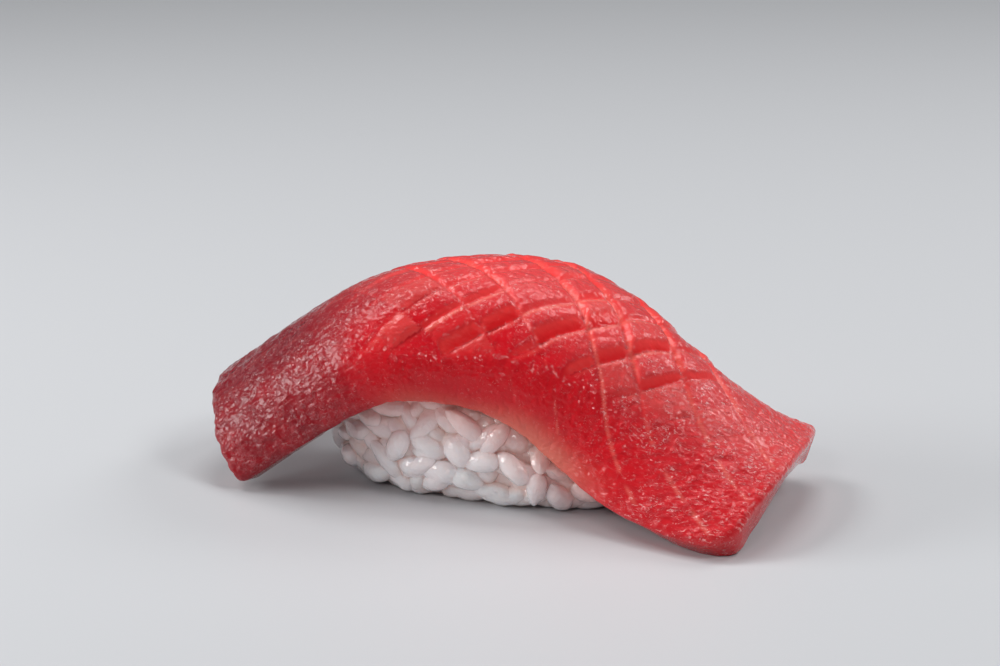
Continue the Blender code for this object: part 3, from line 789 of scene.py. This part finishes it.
def side_triangles(core):
    """Corners and outward direction of the core's triangles, and their areas."""
    mesh = core.data
    mesh.calc_loop_triangles()
    corners = []
    areas = []
    for tri in mesh.loop_triangles:
        if tri.normal.z > -0.9:
            a, b, c = (mesh.vertices[i].co.copy() for i in tri.vertices)
            corners.append((a, b, c, tri.normal.copy()))
            areas.append(tri.area)
    return corners, areas


def random_spot(corners, areas, rng):
    a, b, c, normal = rng.choices(corners, areas)[0]
    p = rng.random()
    q = rng.random()
    if p + q > 1:
        p = 1 - p
        q = 1 - q
    return a + (b - a) * p + (c - a) * q, normal


def grain_frame(normal, rng):
    """Axes of a grain that lies along the core's surface, turned at random."""
    side = normal.cross(Vector((0, 0, 1)))
    if side.length < 0.1:
        side = Vector((1, 0, 0))
    side.normalize()
    turn = rng.gauss(0.0, GRAIN_SWING)
    axis = side * math.cos(turn) + normal.cross(side) * math.sin(turn)
    axis = (axis + normal * rng.uniform(-GRAIN_TIP, GRAIN_TIP)).normalized()
    across = normal.cross(axis).normalized()
    return Matrix((axis, across, axis.cross(across))).transposed()


def place_grain(spot, normal, lift, tree, rng):
    """Points of one grain where it clears the slab and the floor, or None."""
    form = grain_form(rng)
    turned = np.array(grain_frame(normal, rng))
    for shorter in GRAIN_SHORTENING:
        for drop in GRAIN_DROPS:
            centre = spot + normal * (lift - drop * 0.6) - Vector((0, 0, drop))
            placed = (form * np.array([shorter, 1, 1])) @ turned.T + np.array(centre)
            placed[:, 2] += max(0.0, FLOOR_GAP - placed[:, 2].min())
            probes = [Vector(point) for point in placed[::4]]
            if min(clearance(tree, probe) for probe in probes) > GRAIN_GAP:
                return placed
    return None


def spread_grains(core, tree):
    """Points of all the grains, spread evenly where the slab leaves room."""
    corners, areas = side_triangles(core)
    blocks = []
    for spacing, lift, seed in GRAIN_LAYERS:
        rng = random.Random(seed)
        taken = []
        for _ in range(GRAIN_TRIES):
            spot, normal = random_spot(corners, areas, rng)
            if any((spot - other).length < spacing for other in taken):
                continue
            if clearance(tree, spot) < GRAIN_ROOM:
                continue
            height = lift + rng.uniform(-1, 1) * GRAIN_LOOSE
            placed = place_grain(spot, normal, height, tree, rng)
            if placed is not None:
                taken.append(spot)
                blocks.append(placed)
    return blocks


def stuck_together(core, blocks, faces):
    """Fuses the grains onto the core, with creases where they meet."""
    grains = bpy.data.collections.new("grains")
    bpy.context.scene.collection.children.link(grains)
    for block in blocks:
        mesh = bpy.data.meshes.new("grain")
        mesh.from_pydata(block.tolist(), [], faces.tolist())
        grains.objects.link(bpy.data.objects.new("grain", mesh))
    join = core.modifiers.new("fuse", "BOOLEAN")
    join.operation = "UNION"
    join.operand_type = "COLLECTION"
    join.collection = grains
    join.solver = "MANIFOLD"
    fused = core.evaluated_get(bpy.context.evaluated_depsgraph_get())
    mesh = bpy.data.meshes.new_from_object(fused)
    mesh.name = "rice_grains"
    mesh.materials.clear()
    for grain in list(grains.objects):
        bpy.data.objects.remove(grain)
    bpy.data.collections.remove(grains)
    return mesh


def mark_grains(mesh, blocks, faces, core, tree):
    """For the material: each grain's shade, its nearness to the slab for painted red light from
    it, and the hollows for painted shade and bran flecks.
    """
    points = [Vector(point) for point in np.concatenate(blocks)]
    starts = range(0, len(points), len(blocks[0]))
    polygons = np.concatenate([faces + start for start in starts])
    grain_tree = BVHTree.FromPolygons(points, polygons.tolist())
    core_tree = surface_tree(core)
    rng = random.Random(3)
    shades = [rng.random() for _ in blocks]
    places = [vert.co.copy() for vert in mesh.vertices]
    nearest = [grain_tree.find_nearest(place)[2] // len(faces) for place in places]
    heights = np.array([core_tree.find_nearest(place)[3] for place in places])
    # Painted red light from the slab, fading away from it
    painted_slab_light = [math.exp(-tree.find_nearest(place)[3] / PAINTED_SLAB_LIGHT_REACH) for place in places]
    set_value(mesh, "shade", [shades[number] for number in nearest])
    set_value(mesh, "painted_slab_light", painted_slab_light)
    set_value(mesh, "hollow", fade(-heights, -HOLLOW_HEIGHT[0], -HOLLOW_HEIGHT[1]))


def make_grains(core, tree, material):
    """All the grains over the core, as one mesh."""
    blocks = spread_grains(core, tree)
    faces = grain_faces()
    mesh = stuck_together(core, blocks, faces)
    mesh.shade_smooth()
    mesh.set_sharp_from_angle(angle=CREASE_ANGLE)
    mark_grains(mesh, blocks, faces, core, tree)
    bpy.data.objects.remove(core)
    print("grains", len(blocks), "faces", len(mesh.polygons))
    return add_object("rice_grains", mesh, material)


class Nodes:
    """Short calls for building one material's nodes."""

    def __init__(self, name):
        self.material = bpy.data.materials.new(name)
        self.material.use_nodes = True
        self.tree = self.material.node_tree
        self.shader = self.tree.nodes["Principled BSDF"]

    def put(self, value, socket):
        if isinstance(value, bpy.types.NodeSocket):
            self.tree.links.new(value, socket)
        else:
            socket.default_value = value

    def add(self, kind, **settings):
        node = self.tree.nodes.new(kind)
        for name, value in settings.items():
            setattr(node, name, value)
        return node

    def attribute(self, name, output="Fac"):
        return self.add("ShaderNodeAttribute", attribute_name=name).outputs[output]

    def maths(self, operation, a, b=0.0, c=0.0):
        node = self.add("ShaderNodeMath", operation=operation)
        for socket, value in zip(node.inputs, (a, b, c)):
            self.put(value, socket)
        return node.outputs[0]

    def stretch(self, vector, scale, turn=0.0):
        node = self.add("ShaderNodeMapping")
        self.put(vector, node.inputs["Vector"])
        node.inputs["Scale"].default_value = scale
        node.inputs["Rotation"].default_value = (0.0, 0.0, turn)
        return node.outputs[0]

    def noise(self, vector, scale, detail=3.0, roughness=0.55, distortion=0.0):
        node = self.add("ShaderNodeTexNoise")
        self.put(vector, node.inputs["Vector"])
        node.inputs["Scale"].default_value = scale
        node.inputs["Detail"].default_value = detail
        node.inputs["Roughness"].default_value = roughness
        node.inputs["Distortion"].default_value = distortion
        return node.outputs["Fac"]

    def between(self, value, low, high, to_low=0.0, to_high=1.0):
        node = self.add("ShaderNodeMapRange", interpolation_type="SMOOTHSTEP")
        ends = {"From Min": low, "From Max": high, "To Min": to_low, "To Max": to_high}
        for name, number in ends.items():
            self.put(number, node.inputs[name])
        self.put(value, node.inputs["Value"])
        return node.outputs[0]

    def mix(self, share, a, b):
        node = self.add("ShaderNodeMix", data_type="RGBA")
        self.put(share, node.inputs[0])
        self.put(a, node.inputs[6])
        self.put(b, node.inputs[7])
        return node.outputs[2]

    def bump(self, height, strength, distance, normal=None):
        node = self.add("ShaderNodeBump")
        node.inputs["Strength"].default_value = strength
        node.inputs["Distance"].default_value = distance
        self.put(height, node.inputs["Height"])
        if normal is not None:
            self.put(normal, node.inputs["Normal"])
        return node.outputs[0]

    def set(self, **values):
        for name, value in values.items():
            self.put(value, self.shader.inputs[name.replace("_", " ")])
        return self.material


def flesh_base(n, flat, along, across):
    """Crimson low on the near side, dull red at the left end, coral and scarlet else. The crimson
    and scarlet of the near side are partly the flesh's deeper red and partly painted shade.
    """
    cloud = n.noise(flat, 0.13, 3.0, 0.6, 0.6)
    low = n.between(across, *NEAR_BAND)
    middle = n.maths("MULTIPLY", n.between(along, *BAND_LEFT), n.between(along, *BAND_RIGHT))
    # Partly painted shade: the band low on the near side turns crimson
    crimson_band_and_shade = n.maths("MULTIPLY", low, n.maths("MULTIPLY_ADD", middle, 0.7, 0.3))
    crimson_band_and_shade = n.maths("ADD", crimson_band_and_shade, n.maths("MULTIPLY_ADD", cloud, 0.5, -0.25))
    crimson_band_and_shade = n.between(crimson_band_and_shade, 0.05, 0.9)
    left = n.between(along, *LEFT_END)
    colour = n.mix(n.between(across, *SCARLET_SIDE), CORAL, SCARLET)
    colour = n.mix(left, colour, DULL_RED)
    return n.mix(crimson_band_and_shade, colour, CRIMSON), crimson_band_and_shade, left


def pale_fibres(n, colour, flat, crimson_band_and_shade):
    """Long pale fibres, and tiles that are a little paler than others."""
    fibre = n.noise(n.stretch(flat, (0.10, 1.5, 0.3), 0.35), 1.0, 4.0, 0.65, 0.5)
    fibre = n.between(fibre, 0.50, 0.74)
    fibre = n.maths("MULTIPLY", fibre, n.maths("MULTIPLY_ADD", crimson_band_and_shade, -0.10, 0.14))
    colour = n.mix(fibre, colour, PALE_FIBRE)
    return n.mix(n.between(n.attribute("patch"), -0.2, 1.0, 0.0, 0.26), colour, PALE_PATCH)


def glint_and_relief_lines(n, flat):
    """Thin broken lines that wind over the cut surface, for bump relief and for painted glints."""
    swirl = n.noise(n.stretch(flat, ALONG_GRAIN), 2.0, 2.0, 0.6, 1.2)
    lines = n.between(n.maths("ABSOLUTE", n.maths("SUBTRACT", swirl, 0.5)), 0.07, 0.02)
    broken = n.between(n.noise(flat, 1.3, 2.0, 0.6, 0.4), 0.40, 0.52)
    return n.maths("MULTIPLY", lines, broken)


def glint_and_grit_share(n, flat, along, crimson_band_and_shade, wall):
    """Where the painted glints and the grit bumps show: most at the ends, least on the crimson
    band and the walls.
    """
    broad = n.noise(flat, 0.30, 3.0, 0.6, 0.8)
    left = n.between(along, *GLINT_AND_GRIT_LEFT)
    share = n.maths("MAXIMUM", left, n.between(along, *GLINT_AND_GRIT_RIGHT))
    share = n.maths("MULTIPLY_ADD", share, 0.4, 0.6)
    share = n.maths("MULTIPLY", share, n.maths("MULTIPLY_ADD", crimson_band_and_shade, -0.75, 1.0))
    share = n.maths("MULTIPLY", share, n.between(broad, 0.40, 0.60, 0.2, 1.0))
    return n.maths("MULTIPLY", share, n.maths("SUBTRACT", 1.0, wall))


def painted_glints_and_sparkles(n, colour, flat, lines, here, left, edge):
    """Faint painted glints along the lines, and small painted highlight specks, most beside the
    cuts.
    """
    painted_glint_share = n.maths("MULTIPLY", lines, here)
    # Painted glints: pale pink along the lines
    colour = n.mix(n.maths("MULTIPLY", painted_glint_share, 0.12), colour, PAINTED_GLINT)
    painted_sparkle_share = n.between(n.noise(n.stretch(flat, ALONG_GRAIN), 3.0, 2.0, 0.6, 0.8), 0.60, 0.65)
    spread = n.maths("MULTIPLY", here, n.maths("MULTIPLY_ADD", left, -0.35, 0.5))
    painted_sparkle_share = n.maths("MULTIPLY", painted_sparkle_share, n.maths("MULTIPLY_ADD", edge, 0.8, spread))
    # Painted highlights: near-white specks
    return n.mix(n.maths("MINIMUM", painted_sparkle_share, 1.0), colour, PAINTED_SPARKLE)


def cuts_and_rim(n, colour, along, across, wall, edge):
    """Cut walls in the flesh's clean red, brightened as painted light and deeper toward the crease
    as painted shade, pale lips as painted highlight, and painted light through the thin rim over
    the rice.
    """
    # Painted light on the cut walls, and painted shade deeper toward the crease
    deep = n.between(n.attribute("deep"), 0.25, 0.85)
    colour = n.mix(n.maths("MULTIPLY", wall, 0.8), colour, n.mix(deep, CUT_WALL_WITH_PAINTED_LIGHT, CUT_CREASE_PAINTED_SHADE))
    # Painted highlight on the lips and threads of the cuts
    colour = n.mix(n.maths("MULTIPLY", edge, 0.7), colour, CUT_LIP_PAINTED_HIGHLIGHT)
    # Painted light through the thin rim over the rice
    over_rice = n.maths("MULTIPLY", n.between(along, *RIM_LEFT), n.between(along, *RIM_RIGHT))
    widening = n.between(along, *RIM_WIDER, RIM_WIDENING, 0.0)
    thin = n.between(n.maths("ADD", across, widening), *RIM_SIDE)
    share = n.maths("MULTIPLY", n.maths("MULTIPLY", thin, over_rice), 0.6)
    return n.mix(share, colour, RIM_PAINTED_LIGHT)


def flesh_bumps(n, flat, lines, here):
    """Lumps and grit that are finer than the mesh."""
    grain = n.stretch(flat, ALONG_GRAIN)
    normal = n.bump(n.noise(grain, 0.9, 1.0, 0.5, 0.6), 0.5, 0.25 * MM)
    grit = n.noise(grain, 1.8, 0.6, 0.5, 0.4)
    grit = n.maths("MULTIPLY", grit, n.maths("MULTIPLY_ADD", here, 0.6, 0.4))
    normal = n.bump(grit, 1.0, 0.26 * MM, normal)
    fine = n.maths("MULTIPLY", lines, n.maths("MULTIPLY_ADD", here, 0.85, 0.15))
    return n.bump(fine, 1.0, 0.03 * MM, normal)


def tuna_material():
    """Raw tuna: deep red, slightly translucent, with a wet coat."""
    n = Nodes("tuna_flesh")
    flat = n.attribute("flat", "Vector")
    apart = n.add("ShaderNodeSeparateXYZ")
    n.put(flat, apart.inputs[0])
    along, across = apart.outputs[:2]
    wall = n.attribute("wall")
    edge = n.attribute("edge")
    colour, crimson_band_and_shade, left = flesh_base(n, flat, along, across)
    colour = pale_fibres(n, colour, flat, crimson_band_and_shade)
    lines = glint_and_relief_lines(n, flat)
    here = glint_and_grit_share(n, flat, along, crimson_band_and_shade, wall)
    colour = painted_glints_and_sparkles(n, colour, flat, lines, here, left, edge)
    colour = cuts_and_rim(n, colour, along, across, wall, edge)
    normal = flesh_bumps(n, flat, lines, here)
    shader = n.shader.inputs
    shader["Subsurface Radius"].default_value = (1.0, 0.22, 0.16)
    shader["Subsurface Scale"].default_value = 1.2 * MM
    shader["Subsurface Weight"].default_value = 0.25
    shader["IOR"].default_value = 1.38
    shader["Coat Weight"].default_value = 1.0
    shader["Coat Roughness"].default_value = 0.06
    shader["Coat IOR"].default_value = 1.33
    shader["Specular IOR Level"].default_value = 0.05
    return n.set(Base_Color=colour, Roughness=0.5, Normal=normal, Coat_Normal=normal)


def rice_material():
    """Cooked rice: moist, translucent, with painted red light from the slab near it and painted
    shade in the hollows.
    """
    n = Nodes("cooked_rice")
    shade = n.attribute("shade")
    painted_slab_light = n.attribute("painted_slab_light")
    hollow = n.attribute("hollow")
    place = n.add("ShaderNodeTexCoord").outputs["Object"]
    cloud = n.noise(place, 420.0, 3.0, 0.6, 0.4)
    colour = n.mix(shade, RICE_WHITE, RICE_SHADE)
    colour = n.mix(n.between(cloud, 0.42, 0.72, 0.0, 0.5), colour, RICE_CLOUD)
    # Painted red light from the slab
    colour = n.mix(n.between(painted_slab_light, 0.15, 0.85, 0.0, 0.8), colour, RICE_PAINTED_SLAB_LIGHT)
    # Painted shade in the hollows between the grains
    colour = n.mix(n.between(hollow, 0.1, 1.0, 0.0, 0.7), colour, RICE_PAINTED_HOLLOW_SHADE)
    fleck = n.between(n.noise(place, 260.0, 2.0, 0.5), 0.71, 0.76)
    colour = n.mix(n.maths("MULTIPLY", fleck, hollow), colour, BRAN_FLECK)
    normal = n.bump(n.noise(place, 1300.0, 2.0, 0.55), 1.0, 0.16 * MM)
    shader = n.shader.inputs
    shader["Subsurface Radius"].default_value = (1.0, 0.86, 0.80)
    shader["Subsurface Scale"].default_value = 2.2 * MM
    shader["Subsurface Weight"].default_value = 0.85
    shader["IOR"].default_value = 1.38
    shader["Coat Weight"].default_value = 0.9
    shader["Coat Roughness"].default_value = 0.09
    return n.set(Base_Color=colour, Roughness=0.4, Normal=normal, Coat_Normal=normal)


def make_floor():
    n = Nodes("floor")
    n.set(Base_Color=FLOOR_GREY, Roughness=0.5)
    size = FLOOR_HALF_SIZE
    mesh = bpy.data.meshes.new("floor")
    corners = [(-size, -size, 0), (size, -size, 0), (size, size, 0), (-size, size, 0)]
    mesh.from_pydata(corners, [], [(0, 1, 2, 3)])
    mesh.update()
    floor = add_object("floor", mesh, n.material)
    floor.location.z = -FLOOR_DROP


def make_lights():
    """Soft rectangular lights that face the part, and a faint light all round."""
    for name, place, size, power in LIGHTS:
        light = bpy.data.lights.new(name, "AREA")
        light.shape = "RECTANGLE"
        light.size = size[0]
        light.size_y = size[1]
        light.energy = power
        item = bpy.data.objects.new(name, light)
        item.location = place
        facing = LIGHTS_AIM - Vector(place)
        item.rotation_euler = facing.to_track_quat("-Z", "Y").to_euler()
        bpy.context.scene.collection.objects.link(item)
    world = bpy.data.worlds.new("studio")
    world.use_nodes = True
    background = world.node_tree.nodes["Background"]
    background.inputs["Color"].default_value = WORLD_COLOUR
    background.inputs["Strength"].default_value = WORLD_STRENGTH
    bpy.context.scene.world = world


def make_camera(shift):
    """The photo's own camera, moved with the slab."""
    heading = Vector((
        -math.cos(CAMERA_DOWN) * math.sin(CAMERA_TURN),
        math.cos(CAMERA_DOWN) * math.cos(CAMERA_TURN),
        -math.sin(CAMERA_DOWN)))
    data = bpy.data.cameras.new("camera")
    data.lens = CAMERA_LENS
    data.sensor_width = CAMERA_SENSOR
    data.clip_start = CAMERA_NEAR
    camera = bpy.data.objects.new("camera", data)
    camera.location = CAMERA_PLACE + shift
    camera.rotation_euler = heading.to_track_quat("-Z", "Y").to_euler()
    bpy.context.scene.collection.objects.link(camera)
    bpy.context.scene.camera = camera


def main():
    slab, shift = make_slab(tuna_material())
    tree = surface_tree(slab)
    grains = make_grains(make_core(tree, shift), tree, rice_material())
    for piece in (slab, grains):
        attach(piece, "root")
    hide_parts("tuna")
    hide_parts("rice")
    make_floor()
    make_lights()
    make_camera(shift)
    bpy.context.scene.view_settings.view_transform = "Standard"
    print("shift_mm", [round(value / MM, 3) for value in shift])


main()
